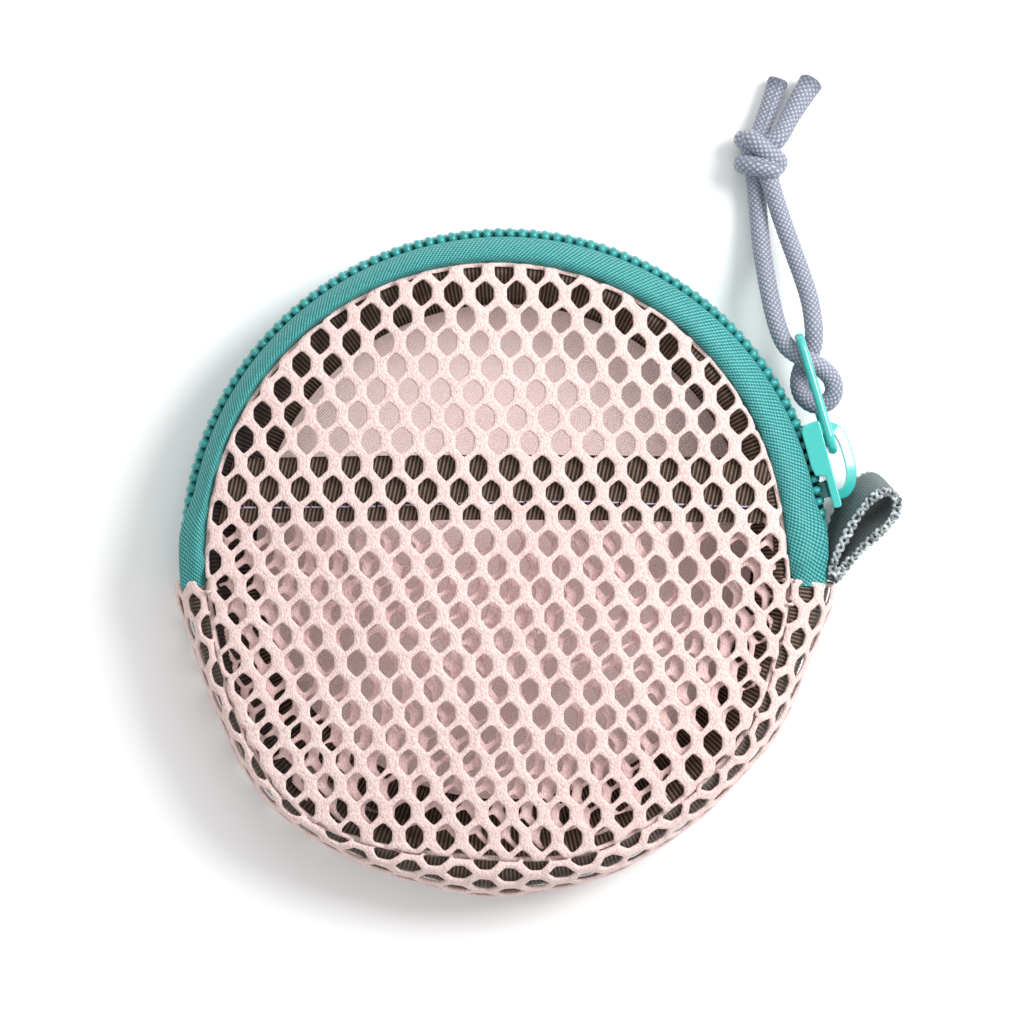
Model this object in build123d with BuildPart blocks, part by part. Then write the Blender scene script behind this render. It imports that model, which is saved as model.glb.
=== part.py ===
from build123d import *
import math
import os

os.makedirs("parts", exist_ok=True)

# ---------------------------------------------------------------- dimensions (mm)
Z_CHAIN = 8.6          # height of the zipper's middle plane above the rest face
R_TEETH = 46.3         # outer radius of the element chain
R_COIL_IN = 44.75      # inner radius of the element chain
COIL_GAP = 0.9         # half the slot between the two chains
COIL_HALF = 3.2        # half the width of the closed chain
TAPE_T = 0.7           # thickness of the woven tape
A_START, A_END = -5.0, 185.0   # the zipper's ends, degrees about +Z from +X

PANEL_C = (-0.5, 0.0)  # centre of the upper half of the front panel
PANEL_LOW_C = (-0.5, -2.2)     # centre of its lower half
R_PANEL = 41.1
Z_RIM = 16.0           # outer face of the front panel at its rim
DOME_RISE = 3.6        # how far the front panel swells in the middle
MESH_T = 0.9
R_BACK = 41.2
BACK_T = 0.8

HEM_Y = -4.6           # folded hems of the lower gusset

POCKET_TOP = 13.3      # upper edge of the pocket's binding ribbon
POCKET_LOW = 4.8       # lower edge of the ribbon
R_POCKET = 38.6

SLIDER_A = 15.2        # place of the slider on the chain, degrees
PLATE_L = 12.7
PLATE_W = 8.7
PLATE_R0, PLATE_R1 = 46.95, 48.15
WIRE_D = 1.3
LOOP_W = 9.0           # outer width of the wire loop, along Z
PIVOT = (46.9, 14.6)   # axis of the wire loop in the crown
LOOP_END = (42.1, 30.6)        # centre of the wire at the loop's far end

CORD_D = 2.7
TAB_T = 1.2
TAB_W = 10.0


def meridian(deg):
    """Plane through the Z axis: local x runs outward, local y is up."""
    a = math.radians(deg)
    return Plane(origin=(0, 0, 0), x_dir=(math.cos(a), math.sin(a), 0),
                 z_dir=(math.sin(a), -math.cos(a), 0))


def cap_z(r, base, rise=DOME_RISE, r0=R_PANEL):
    """Height of a domed face at radius r."""
    return base + rise * (1 - (r / r0) ** 2)


def route_radii(name, pts, d):
    """Corner radii of a cord's route, as large as the two runs allow."""
    v = [Vector(*p) for p in pts]
    runs = [(v[i + 1] - v[i]).length for i in range(len(v) - 1)]
    out = []
    for i in range(1, len(v) - 1):
        turn = (v[i] - v[i - 1]).get_angle(v[i + 1] - v[i])
        out.append(0.45 * min(runs[i - 1], runs[i]) / math.tan(math.radians(turn) / 2))
    print(name, "runs", [round(x, 1) for x in runs])
    print(name, "radii", [round(x, 1) for x in out], "in diameters", [round(x / d, 1) for x in out])
    return out


# ---------------------------------------------------------------- front mesh panel
R_DOME = (R_PANEL ** 2 + DOME_RISE ** 2) / (2 * DOME_RISE)
with BuildPart() as front_mesh_panel:
    with BuildSketch(Plane.XY.offset(12)):
        with Locations(PANEL_C):
            Circle(R_PANEL)
        with Locations(PANEL_LOW_C):
            Circle(R_PANEL + 0.2)
    extrude(amount=12)
    with Locations((0, 0, Z_RIM + DOME_RISE - R_DOME)):
        Sphere(R_DOME, rotation=(0, 90, 0), mode=Mode.INTERSECT)
    with Locations((0, 0, Z_RIM + DOME_RISE - R_DOME)):
        Sphere(R_DOME - MESH_T, rotation=(0, 90, 0), mode=Mode.SUBTRACT)
front_mesh_panel.part.label = "front_mesh_panel"

# ---------------------------------------------------------------- back panel
with BuildPart() as back_panel:
    with BuildSketch(Plane.XY):
        Circle(R_BACK)
        with Locations(PANEL_LOW_C):
            Circle(R_BACK + 0.3)
    extrude(amount=BACK_T)
back_panel.part.label = "back_panel"

# ---------------------------------------------------------------- zipper tapes
with BuildPart() as front_zipper_tape:
    with BuildSketch(meridian(A_START)):
        with BuildLine():
            Polyline((44.7 - TAPE_T, Z_CHAIN + COIL_GAP), (44.7, Z_CHAIN + COIL_GAP), (44.7, Z_CHAIN + 3.8))
            ThreePointArc((44.7, Z_CHAIN + 3.8), (44.0, 14.6), (42.2, 15.9))
            Line((42.2, 15.9), (42.1, 15.2))
            ThreePointArc((42.1, 15.2), (43.4, 14.2), (44.7 - TAPE_T, Z_CHAIN + 3.8))
            Line((44.7 - TAPE_T, Z_CHAIN + 3.8), (44.7 - TAPE_T, Z_CHAIN + COIL_GAP))
        make_face()
    revolve(axis=Axis.Z, revolution_arc=A_END - A_START)
front_zipper_tape.part.label = "front_zipper_tape"

with BuildPart() as back_zipper_tape:
    with BuildSketch(meridian(A_START)):
        with BuildLine():
            Polyline((44.7 - TAPE_T, Z_CHAIN - COIL_GAP), (44.7, Z_CHAIN - COIL_GAP), (44.7, Z_CHAIN - 3.8))
            ThreePointArc((44.7, Z_CHAIN - 3.8), (43.9, 2.2), (42.6, 0.5))
            Line((42.6, 0.5), (42.5, 1.2))
            ThreePointArc((42.5, 1.2), (43.3, 2.7), (44.7 - TAPE_T, Z_CHAIN - 3.8))
            Line((44.7 - TAPE_T, Z_CHAIN - 3.8), (44.7 - TAPE_T, Z_CHAIN - COIL_GAP))
        make_face()
    revolve(axis=Axis.Z, revolution_arc=A_END - A_START)
back_zipper_tape.part.label = "back_zipper_tape"

# ---------------------------------------------------------------- element chains
with BuildPart() as front_zipper_coil:
    with BuildSketch(meridian(A_START + 1)):
        with Locations(((R_COIL_IN + R_TEETH) / 2, Z_CHAIN + (COIL_GAP + COIL_HALF) / 2)):
            RectangleRounded(R_TEETH - R_COIL_IN, COIL_HALF - COIL_GAP, 0.5)
    revolve(axis=Axis.Z, revolution_arc=A_END - A_START - 2)
front_zipper_coil.part.label = "front_zipper_coil"

with BuildPart() as back_zipper_coil:
    with BuildSketch(meridian(A_START + 1)):
        with Locations(((R_COIL_IN + R_TEETH) / 2, Z_CHAIN - (COIL_GAP + COIL_HALF) / 2)):
            RectangleRounded(R_TEETH - R_COIL_IN, COIL_HALF - COIL_GAP, 0.5)
    revolve(axis=Axis.Z, revolution_arc=A_END - A_START - 2)
back_zipper_coil.part.label = "back_zipper_coil"

# ---------------------------------------------------------------- lower mesh gusset
GUSSET = [(16.0, -0.5, -2.2, 42.4), (10.5, 0.0, -1.8, 46.4), (5.0, 0.35, -1.5, 47.4), (0.0, 0.0, -1.2, 44.4)]


def ring_loft(part_name, inset):
    """Closed loft through the gusset's sections, drawn in by inset."""
    with BuildPart() as body:
        for z, cx, cy, r in GUSSET:
            with BuildSketch(Plane.XY.offset(z)):
                with Locations((cx, cy)):
                    Circle(r - inset)
        loft()
    body.part.label = part_name
    return body.part


g_outer = ring_loft("outer", 0.0)
g_inner = ring_loft("inner", MESH_T)
g_lining_out = ring_loft("lining_outer", MESH_T + 0.15)
g_lining_in = ring_loft("lining_inner", MESH_T + 0.9)

with BuildPart() as gusset_mesh:
    add(g_outer)
    add(g_inner, mode=Mode.SUBTRACT)
    with BuildSketch(Plane.XY.offset(-1)):
        with Locations((0, HEM_Y - 30)):
            Rectangle(120, 60)
    extrude(amount=20, mode=Mode.INTERSECT)
gusset_mesh.part.label = "gusset_mesh"

with BuildPart() as gusset_lining_ribbon:
    add(g_lining_out)
    add(g_lining_in, mode=Mode.SUBTRACT)
    with BuildSketch(Plane.XY.offset(3.5)):
        with Locations((0, HEM_Y - 0.6 - 30)):
            Rectangle(120, 60)
    extrude(amount=9.0, mode=Mode.INTERSECT)
gusset_lining_ribbon.part.label = "gusset_lining_ribbon"

# ---------------------------------------------------------------- seam bindings
with BuildPart() as front_seam_binding:
    with BuildSketch(meridian(0)):
        with BuildLine():
            Polyline((39.8, 14.7), (39.8, 13.9), (35.9, 11.5), (35.5, 12.2), (38.9, 14.3), (39.8, 14.7))
        make_face()
    revolve(axis=Axis.Z, revolution_arc=360)
front_seam_binding.part.label = "front_seam_binding"

with BuildPart() as back_seam_binding:
    with BuildSketch(meridian(0)):
        with BuildLine():
            Polyline((40.6, 0.9), (40.6, 1.7), (36.2, 2.9), (36.0, 2.1), (40.6, 0.9))
        make_face()
    revolve(axis=Axis.Z, revolution_arc=360)
back_seam_binding.part.label = "back_seam_binding"

# ---------------------------------------------------------------- inner slip pocket
POCKET_BASE = Z_RIM - MESH_T - 0.25


def pocket_layer(base, thick, low, high):
    """Domed layer behind the front panel, cut to a band of y."""
    with BuildPart() as body:
        with BuildSketch(meridian(0)):
            with BuildLine():
                Line((0, cap_z(0, base)), (0, cap_z(0, base) - thick))
                ThreePointArc((0, cap_z(0, base) - thick), (20, cap_z(20, base) - thick),
                              (R_POCKET, cap_z(R_POCKET, base) - thick))
                Line((R_POCKET, cap_z(R_POCKET, base) - thick), (R_POCKET, cap_z(R_POCKET, base)))
                ThreePointArc((R_POCKET, cap_z(R_POCKET, base)), (20, cap_z(20, base)), (0, cap_z(0, base)))
            make_face()
        revolve(axis=Axis.Z, revolution_arc=360)
        with BuildSketch(Plane.XY.offset(5)):
            with Locations((0, (low + high) / 2)):
                Rectangle(120, high - low)
        extrude(amount=20, mode=Mode.INTERSECT)
    return body.part


with BuildPart() as pocket_mesh:
    add(pocket_layer(POCKET_BASE, 0.6, -60, POCKET_LOW))
pocket_mesh.part.label = "pocket_mesh"

with BuildPart() as pocket_binding:
    add(pocket_layer(POCKET_BASE, 0.8, POCKET_LOW, POCKET_TOP))
pocket_binding.part.label = "pocket_binding"

# ---------------------------------------------------------------- slider, drawn on its own plane
sa = math.radians(SLIDER_A)
slider_plane = Plane(origin=(0, 0, Z_CHAIN), x_dir=(math.cos(sa), math.sin(sa), 0), z_dir=(0, 0, 1))
R_MID = (PLATE_R0 + PLATE_R1) / 2

with BuildPart() as slider_body:
    # outer plate, wide at the nose and narrow at the tail, seen along the radius
    with BuildSketch(slider_plane):
        with Locations((R_MID, 0)):
            RectangleRounded(PLATE_R1 - PLATE_R0, PLATE_L, 0.35)
    extrude(amount=PLATE_W / 2, both=True)
    # inner plate
    with BuildSketch(slider_plane):
        with Locations((42.65, 0.2)):
            RectangleRounded(1.1, 10.4, 0.35)
    extrude(amount=3.2, both=True)
    # side flanges of the outer plate
    with BuildSketch(slider_plane.offset(PLATE_W / 2 - 0.75)):
        with BuildLine():
            Polyline((PLATE_R0 + 0.3, -1.6), (45.6, -1.2), (45.3, 0.2), (45.3, 5.4), (45.7, 6.2),
                     (PLATE_R0 + 0.3, 6.3), (PLATE_R0 + 0.3, -1.6))
        make_face()
    extrude(amount=0.75)
    with BuildSketch(slider_plane.offset(-PLATE_W / 2)):
        with BuildLine():
            Polyline((PLATE_R0 + 0.3, -1.6), (45.6, -1.2), (45.3, 0.2), (45.3, 5.4), (45.7, 6.2),
                     (PLATE_R0 + 0.3, 6.3), (PLATE_R0 + 0.3, -1.6))
        make_face()
    extrude(amount=0.75)
    # post between the plates, at the nose
    with BuildSketch(slider_plane):
        with BuildLine():
            Polyline((42.8, -4.6), (47.2, -4.6), (47.2, -2.2), (42.8, -2.2), (42.8, -4.6))
        make_face()
    extrude(amount=0.5, both=True)
    # slot for the lock pin through the outer plate
    with BuildSketch(slider_plane):
        with Locations((R_MID, 1.6)):
            Rectangle(PLATE_R1 - PLATE_R0 + 0.4, 1.5)
    extrude(amount=0.6, both=True, mode=Mode.SUBTRACT)
slider_body.part.label = "slider_body"

# crown: a bridge over the outer plate, its hole running along Z
with BuildPart() as slider_crown:
    with BuildSketch(slider_plane):
        with BuildLine():
            Polyline((48.2, 6.0), (49.4, 6.0), (50.9, 4.6), (51.6, 1.6), (51.75, -1.2), (50.9, -4.0),
                     (48.9, -5.3), (48.2, -5.3), (48.2, 6.0))
        make_face()
        with BuildLine():
            Polyline((48.0, 3.7), (49.3, 4.0), (49.95, 3.0), (50.3, 0.6), (50.1, -1.9), (49.2, -3.3),
                     (48.0, -3.3), (48.0, 3.7))
        make_face(mode=Mode.SUBTRACT)
    extrude(amount=1.5, both=True)
    fillet(slider_crown.edges().filter_by(lambda e: abs(e.center().Z - Z_CHAIN) > 1.4)
           .filter_by(lambda e: math.hypot(e.center().X, e.center().Y) > 50.9), radius=0.3)
slider_crown.part.label = "slider_crown"

# lock pin: its tip passes through the outer plate into the slot between the chains
with BuildPart() as slider_lock_pin:
    with BuildSketch(slider_plane):
        with Locations((46.5, 1.6)):
            Rectangle(2.4, 0.8)
    extrude(amount=0.35, both=True)
slider_lock_pin.part.label = "slider_lock_pin"

# ---------------------------------------------------------------- wire loop
ux, uy = LOOP_END[0] - PIVOT[0], LOOP_END[1] - PIVOT[1]
ul = math.hypot(ux, uy)
loop_plane = Plane(origin=(PIVOT[0], PIVOT[1], Z_CHAIN), x_dir=(ux / ul, uy / ul, 0),
                   z_dir=(uy / ul, -ux / ul, 0))
hw = (LOOP_W - WIRE_D) / 2
with BuildPart() as pull_loop:
    with BuildLine(loop_plane) as wire:
        FilletPolyline((0, hw), (ul, hw), (ul, -hw), (0, -hw), radius=2.0, close=True)
    with BuildSketch(Plane(origin=wire.line @ 0, z_dir=wire.line % 0)):
        Circle(WIRE_D / 2)
    sweep()
pull_loop.part.label = "pull_loop"

# ---------------------------------------------------------------- pull cord
BIGHT = [(39.7, 30.5, 8.9), (40.5, 29.1, 9.4), (42.7, 27.6, 10.1), (44.9, 26.6, 10.0), (46.8, 25.0, 9.6),
         (47.3, 23.0, 9.2), (46.4, 21.3, 8.7), (44.4, 20.9, 8.2), (42.6, 22.2, 7.7), (42.1, 24.5, 7.2),
         (42.9, 26.9, 7.0), (44.1, 28.8, 7.3), (44.4, 30.6, 7.7)]
STRAND_L = [(39.0, 32.5, 8.1), (38.2, 36.0, 6.9), (37.5, 40.2, 5.1), (36.9, 44.6, 3.4), (36.6, 49.0, 2.4),
            (36.2, 53.2, 2.3)]
STRAND_R = [(44.3, 32.5, 7.9), (43.9, 35.9, 7.0), (42.6, 40.1, 5.8), (41.0, 44.6, 4.7), (39.5, 49.0, 4.2),
            (38.2, 53.2, 4.4)]
END_L = [(36.8, 60.0, 2.6), (37.9, 63.3, 2.0), (39.6, 68.1, 1.6)]
END_R = [(39.5, 59.2, 5.0), (41.4, 63.2, 3.5), (44.4, 67.9, 2.0)]


def tube(pts, radii):
    """Round tube along straight runs joined by tangent arcs."""
    with BuildPart() as body:
        with BuildLine() as ln:
            FilletPolyline(*pts, radius=radii)
        with BuildSketch(Plane(origin=ln.line @ 0, z_dir=ln.line % 0)):
            Circle(CORD_D / 2)
        sweep()
    length = sum(e.length for e in ln.edges())
    print("tube volume", round(body.part.volume, 2), "section x length",
          round(math.pi * CORD_D ** 2 / 4 * length, 2), "length", round(length, 2))
    return body.part


with BuildPart() as pull_cord_bight:
    add(tube(BIGHT, route_radii("bight", BIGHT, CORD_D)))
pull_cord_bight.part.label = "pull_cord_bight"

with BuildPart() as pull_cord_strands:
    add(tube(STRAND_L, route_radii("strand_left", STRAND_L, CORD_D)))
    add(tube(STRAND_R, route_radii("strand_right", STRAND_R, CORD_D)))
pull_cord_strands.part.label = "pull_cord_strands"

with BuildPart() as pull_cord_ends:
    add(tube(END_L, route_radii("end_left", END_L, CORD_D)))
    add(tube(END_R, route_radii("end_right", END_R, CORD_D)))
pull_cord_ends.part.label = "pull_cord_ends"

# knot: doubled overhand knot, its outer shape only
with BuildPart() as pull_cord_knot:
    with BuildSketch(Plane(origin=(36.9, 56.7, 3.75), x_dir=(1, 0, 0), z_dir=(0, 0, 1))):
        Ellipse(3.9, 3.6)
    extrude(amount=3.7, both=True)
    fillet(pull_cord_knot.edges().filter_by(lambda e: True), radius=2.4)
    add(pull_cord_strands.part, mode=Mode.SUBTRACT)
    add(pull_cord_ends.part, mode=Mode.SUBTRACT)
pull_cord_knot.part.label = "pull_cord_knot"

# ---------------------------------------------------------------- side tab of folded webbing
with BuildPart() as side_tab_loop:
    with BuildSketch(Plane.XY.offset(Z_CHAIN - TAB_W / 2)):
        with BuildLine() as tab_line:
            FilletPolyline((47.1, -3.6), (49.9, 2.6), (54.2, 9.3), (56.0, 7.2), (54.8, 3.6), (48.7, -2.9),
                           radius=[6.0, 0.9, 1.2, 4.0])
        trace(line_width=TAB_T)
    extrude(amount=TAB_W)
side_tab_loop.part.label = "side_tab_loop"

# ---------------------------------------------------------------- export
for piece in (front_mesh_panel, back_panel, gusset_mesh, gusset_lining_ribbon, pocket_mesh, pocket_binding,
              front_seam_binding, back_seam_binding, front_zipper_tape, back_zipper_tape,
              front_zipper_coil, back_zipper_coil, slider_body, slider_crown, slider_lock_pin, pull_loop,
              pull_cord_bight, pull_cord_strands, pull_cord_ends, pull_cord_knot, side_tab_loop):
    export_step(piece.part, "parts/" + piece.part.label + ".step")
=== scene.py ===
import math
import bpy
import numpy as np
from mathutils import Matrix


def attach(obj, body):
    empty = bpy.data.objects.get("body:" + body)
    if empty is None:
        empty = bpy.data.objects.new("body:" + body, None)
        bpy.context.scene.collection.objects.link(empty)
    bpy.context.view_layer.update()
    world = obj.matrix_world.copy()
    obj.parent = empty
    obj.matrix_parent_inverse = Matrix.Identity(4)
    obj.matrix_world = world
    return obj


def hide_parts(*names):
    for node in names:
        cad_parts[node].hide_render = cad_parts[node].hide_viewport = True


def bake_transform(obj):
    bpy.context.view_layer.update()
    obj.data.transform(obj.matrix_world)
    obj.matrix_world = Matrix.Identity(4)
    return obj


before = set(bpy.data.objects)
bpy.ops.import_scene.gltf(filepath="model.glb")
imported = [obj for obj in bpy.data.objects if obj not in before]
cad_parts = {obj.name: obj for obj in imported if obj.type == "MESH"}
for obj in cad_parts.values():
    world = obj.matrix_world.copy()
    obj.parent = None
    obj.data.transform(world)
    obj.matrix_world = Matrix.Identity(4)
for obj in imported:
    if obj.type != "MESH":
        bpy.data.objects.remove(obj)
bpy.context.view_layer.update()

MM = 0.001
ZC = 8.6                     # zipper's middle plane, mm
R_TEETH = 46.3
rng = np.random.default_rng(7)

# ------------------------------------------------------------------ camera
cam_data = bpy.data.cameras.new("camera")
cam = bpy.data.objects.new("camera", cam_data)
bpy.context.scene.collection.objects.link(cam)
cam_data.sensor_width = 36
cam_data.lens = 200
FIELD = 146.3                # width of the view at z = 9 mm
DIST = FIELD * cam_data.lens / cam_data.sensor_width
cam.location = (1.14 * MM, 5.71 * MM, (9 + DIST) * MM)
cam.rotation_euler = (0, 0, 0)
cam_data.clip_start, cam_data.clip_end = 0.01, 10
bpy.context.scene.camera = cam


# ------------------------------------------------------------------ small tools
def new_object(name, verts, faces, attr=None, attr2=None, smooth=True):
    """Mesh object from points in mm. attr is a vector for each point, read by the materials as "tx"."""
    verts = np.array(verts, float)
    verts[:, 2] = np.maximum(verts[:, 2], 0.03)
    me = bpy.data.meshes.new(name)
    me.from_pydata((np.asarray(verts, float) * MM).tolist(), [], [tuple(int(i) for i in f) for f in faces])
    me.update()
    if smooth:
        me.polygons.foreach_set("use_smooth", np.ones(len(me.polygons), bool))
    for key, values in (("tx", attr), ("ty", attr2)):
        if values is not None:
            a = me.attributes.new(key, "FLOAT_VECTOR", "POINT")
            a.data.foreach_set("vector", np.asarray(values, np.float32).ravel())
    ob = bpy.data.objects.new(name, me)
    bpy.context.scene.collection.objects.link(ob)
    return ob


def grid_faces(n, m, wrap_n=False, wrap_m=False, base=0, flip=False):
    """Quads of an n by m grid of points, stored row by row."""
    out = []
    for i in range(n if wrap_n else n - 1):
        i2 = (i + 1) % n
        for j in range(m if wrap_m else m - 1):
            j2 = (j + 1) % m
            q = (base + i * m + j, base + i2 * m + j, base + i2 * m + j2, base + i * m + j2)
            out.append(q[::-1] if flip else q)
    return out


def catmull(pts, t):
    """Point on a smooth curve through pts (k, ..., 2 or 3), t in 0..1 for each row of the batch."""
    pts = np.asarray(pts, float)
    k = len(pts)
    x = np.clip(np.asarray(t, float), 0, 1) * (k - 1)
    i = np.minimum(x.astype(int), k - 2)
    f = (x - i)[..., None]
    p = np.concatenate([2 * pts[:1] - pts[1:2], pts, 2 * pts[-1:] - pts[-2:-1]])
    if pts.ndim == 2:
        p0, p1, p2, p3 = p[i], p[i + 1], p[i + 2], p[i + 3]
    else:
        n = np.arange(pts.shape[1])
        p0, p1, p2, p3 = p[i, n], p[i + 1, n], p[i + 2, n], p[i + 3, n]
    return 0.5 * (2 * p1 + (p2 - p0) * f + (2 * p0 - 5 * p1 + 4 * p2 - p3) * f ** 2
                  + (3 * p1 - p0 - 3 * p2 + p3) * f ** 3)


def around(table, theta):
    """Periodic smooth reading of (degrees, value) pairs."""
    table = sorted(table)
    a = np.array([p[0] for p in table], float)
    v = np.array([p[1] for p in table], float)
    fine = np.arange(-180, 180, 1.0)
    aa = np.concatenate([a - 360, a, a + 360])
    vv = np.concatenate([v, v, v])
    y = np.interp(fine, aa, vv)
    for _ in range(24):
        y = 0.25 * np.roll(y, 1) + 0.5 * y + 0.25 * np.roll(y, -1)
    d = (np.degrees(theta) + 180) % 360 - 180
    return np.interp(d, np.concatenate([fine, [180]]), np.concatenate([y, y[:1]]))


def soft_noise(x, y, seed, scale):
    """Smooth undulation made of a few waves, about -1 to 1."""
    r = np.random.default_rng(seed)
    out = 0
    for _ in range(7):
        a = r.uniform(0, 2 * math.pi)
        k = 2 * math.pi / (scale * r.uniform(0.7, 1.7))
        out = out + np.sin(k * (x * math.cos(a) + y * math.sin(a)) + r.uniform(0, 6.28))
    return out / 3.5


# ------------------------------------------------------------------ outline of the pouch
RP_TABLE = [(0, 40.3), (15, 40.1), (30, 40.25), (45, 40.5), (60, 40.8), (75, 41.05), (90, 41.3), (105, 41.6),
            (120, 41.9), (135, 42.15), (150, 42.35), (165, 42.5), (176, 42.6),
            (-5, 41.2), (-12, 41.4), (-19.6, 41.7), (-30.5, 42.6), (-39, 43.5), (-53.8, 43.6), (-61, 44.1),
            (-68.5, 44.6), (-79.5, 44.7), (-90.7, 43.9), (-101, 44.1), (-113.9, 45.9), (-123, 47.3),
            (-133, 47.2), (-143.6, 45.6), (-157, 43.8), (-170, 42.8)]
RS_TABLE = [(-6, 47.9), (-15.3, 46.1), (-26.5, 46.1), (-32.9, 46.8), (-37.2, 47.0), (-42, 46.5), (-50, 46.8),
            (-57, 47.4), (-63.4, 47.8), (-73, 48.3), (-80, 48.5), (-90.6, 48.9), (-103, 48.9), (-114, 48.9),
            (-126, 49.2), (-137.6, 48.9), (-151, 46.7), (-164, 46.3), (-173.5, 47.3),
            (0, 47.5), (20, 47), (90, 47), (160, 47), (180, 47.2)]
ZR_TABLE = [(0, 15.6), (30, 15.8), (60, 15.9), (90, 15.9), (120, 15.8), (150, 15.5), (180, 15.2),
            (-20, 15.4), (-60, 15.2), (-90, 14.8), (-120, 14.2), (-140, 14.2), (-165, 14.9)]


def rim_r(theta):
    # the table is what the photograph shows; cloth thickness and height above the zipper add 0.6 mm to it
    return around(RP_TABLE, theta) - 0.6


def side_r(theta):
    return np.maximum(around(RS_TABLE, theta), rim_r(theta) + 1.9)


def rim_z(theta):
    return around(ZR_TABLE, theta)


Z_TOP = 19.1


def front_z(x, y):
    """Height of the front panel's middle surface."""
    rho = np.hypot(x, y)
    th = np.arctan2(y, x)
    rp = rim_r(th)
    q = np.clip(rho / rp, 0, 1)
    z = rim_z(th) + (Z_TOP - rim_z(th)) * (1 - q ** 2.3)
    return z + 0.22 * soft_noise(x, y, 3, 30) * (1 - q ** 6)


def with_normals(fn, x, y, w, h=0.05):
    """Points fn(x, y) moved by w along the surface's normal."""
    p = fn(x, y)
    du = fn(x + h, y) - fn(x - h, y)
    dv = fn(x, y + h) - fn(x, y - h)
    n = np.cross(du, dv)
    n /= np.maximum(np.linalg.norm(n, axis=1, keepdims=True), 1e-9)
    return p + n * np.asarray(w)[:, None]


# ------------------------------------------------------------------ warp-knit mesh
HOLE = [(0.05, 2.16), (-1.38, 0.92), (-1.40, -0.66), (0.0, -2.22), (1.40, -0.74), (1.38, 0.94)]


def hole_shape(angles, size, turn):
    """The rounded, pointed hexagon of a hole, read at the given angles."""
    k = len(HOLE)
    pts = np.array([np.array(HOLE[i]) * (1 - f) + np.array(HOLE[(i + 1) % k]) * f
                    for i in range(k) for f in np.arange(20) / 20])
    for _ in range(14):
        pts = 0.25 * np.roll(pts, 1, 0) + 0.5 * pts + 0.25 * np.roll(pts, -1, 0)
    pts = pts * size
    a = (np.arctan2(pts[:, 1], pts[:, 0]) + turn) % (2 * math.pi)
    r = np.hypot(pts[:, 0], pts[:, 1])
    o = np.argsort(a)
    a, r = a[o], r[o]
    a = np.concatenate([a - 2 * math.pi, a, a + 2 * math.pi])
    r = np.tile(r, 3)
    rr = np.interp(angles % (2 * math.pi), a, r)
    return np.column_stack([rr * np.cos(angles), rr * np.sin(angles)])


def knit_mesh(name, a, b, origin, inside, surface, thick, size=1.0, turn=0.0, seed=1, sides=6, jitter=0.03):
    """Hexagonal mesh cloth as one closed solid. a and b are the steps from hole to hole in the flat cloth,
    inside(x, y) says which cells are there, and surface(x, y) puts the flat cloth in space."""
    r = np.random.default_rng(seed)
    a, b = np.array(a, float), np.array(b, float)
    c = b - a

    def centre3(p, q):
        m = np.array([p, q]) * 2
        return np.linalg.solve(m, np.array([p @ p, q @ q]))

    hexa = [centre3(a, b), centre3(b, c), centre3(c, -a), centre3(-a, -b), centre3(-b, -c), centre3(-c, a)]
    edge = []
    for k in range(6):
        p, q = hexa[k], hexa[(k + 1) % 6]
        for s in range(sides):
            edge.append(p + (q - p) * s / sides)
    edge = np.array(edge)
    n = len(edge)
    hole = hole_shape(np.arctan2(edge[:, 1], edge[:, 0]), size, turn)
    rings = [(0.0, 0.0), (0.12, 0.60), (0.36, 0.90), (0.68, 1.0)]

    span = 80
    cells = []
    for i in range(-span, span):
        for j in range(-span, span):
            p = np.array(origin) + i * a + j * b
            if abs(p[0]) < 160 and abs(p[1]) < 160:
                cells.append(p)
    cells = np.array(cells)
    cells = cells[inside(cells[:, 0], cells[:, 1])]

    flat, height, faces = [], [], []
    key_top, key_bot, use = {}, {}, {}

    def add(p, w):
        flat.append(p)
        height.append(w)
        return len(flat) - 1

    for cell in cells:
        grow = 1 + r.normal(0, jitter)
        shift = r.normal(0, 0.06, 2)
        q = r.normal(0, 0.05)
        spin = np.array([[math.cos(q), -math.sin(q)], [math.sin(q), math.cos(q)]])
        own = (hole * grow * (1 + r.normal(0, 0.03, 2))) @ spin.T + shift
        loops_top, loops_bot = [], []
        for t, w in rings:
            pts = cell + own + (edge - own) * t
            top = [add(p, w) for p in pts]
            bot = top if t == 0 else [add(p, -w) for p in pts]
            loops_top.append(top)
            loops_bot.append(bot)
        top, bot = [], []
        for p in cell + edge:
            k = (round(p[0], 3), round(p[1], 3))
            if k not in key_top:
                key_top[k], key_bot[k] = add(p, 1.0), add(p, -1.0)
            top.append(key_top[k])
            bot.append(key_bot[k])
        loops_top.append(top)
        loops_bot.append(bot)
        for u, v in zip(loops_top[:-1], loops_top[1:]):
            for k in range(n):
                k2 = (k + 1) % n
                faces.append((u[k], v[k], v[k2], u[k2]))
        for u, v in zip(loops_bot[:-1], loops_bot[1:]):
            for k in range(n):
                k2 = (k + 1) % n
                faces.append((u[k2], v[k2], v[k], u[k]))
        for k in range(n):
            k2 = (k + 1) % n
            e = (min(top[k], top[k2]), max(top[k], top[k2]))
            use.setdefault(e, []).append((top[k], top[k2], bot[k], bot[k2]))
    for found in use.values():
        if len(found) == 1:
            t1, t2, b1, b2 = found[0]
            faces.append((t2, t1, b1, b2))
    flat, height = np.array(flat), np.array(height)
    w = height * thick / 2 * (1 + 0.12 * soft_noise(flat[:, 0], flat[:, 1], seed + 11, 1.6))
    pts = with_normals(surface, flat[:, 0], flat[:, 1], w)
    tx = np.column_stack([flat, np.abs(height)])
    return new_object(name, pts, faces, tx)


A_STEP = (4.49, -0.075)
B_STEP = (2.70, 3.455)
FOLD = 0.5


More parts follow.
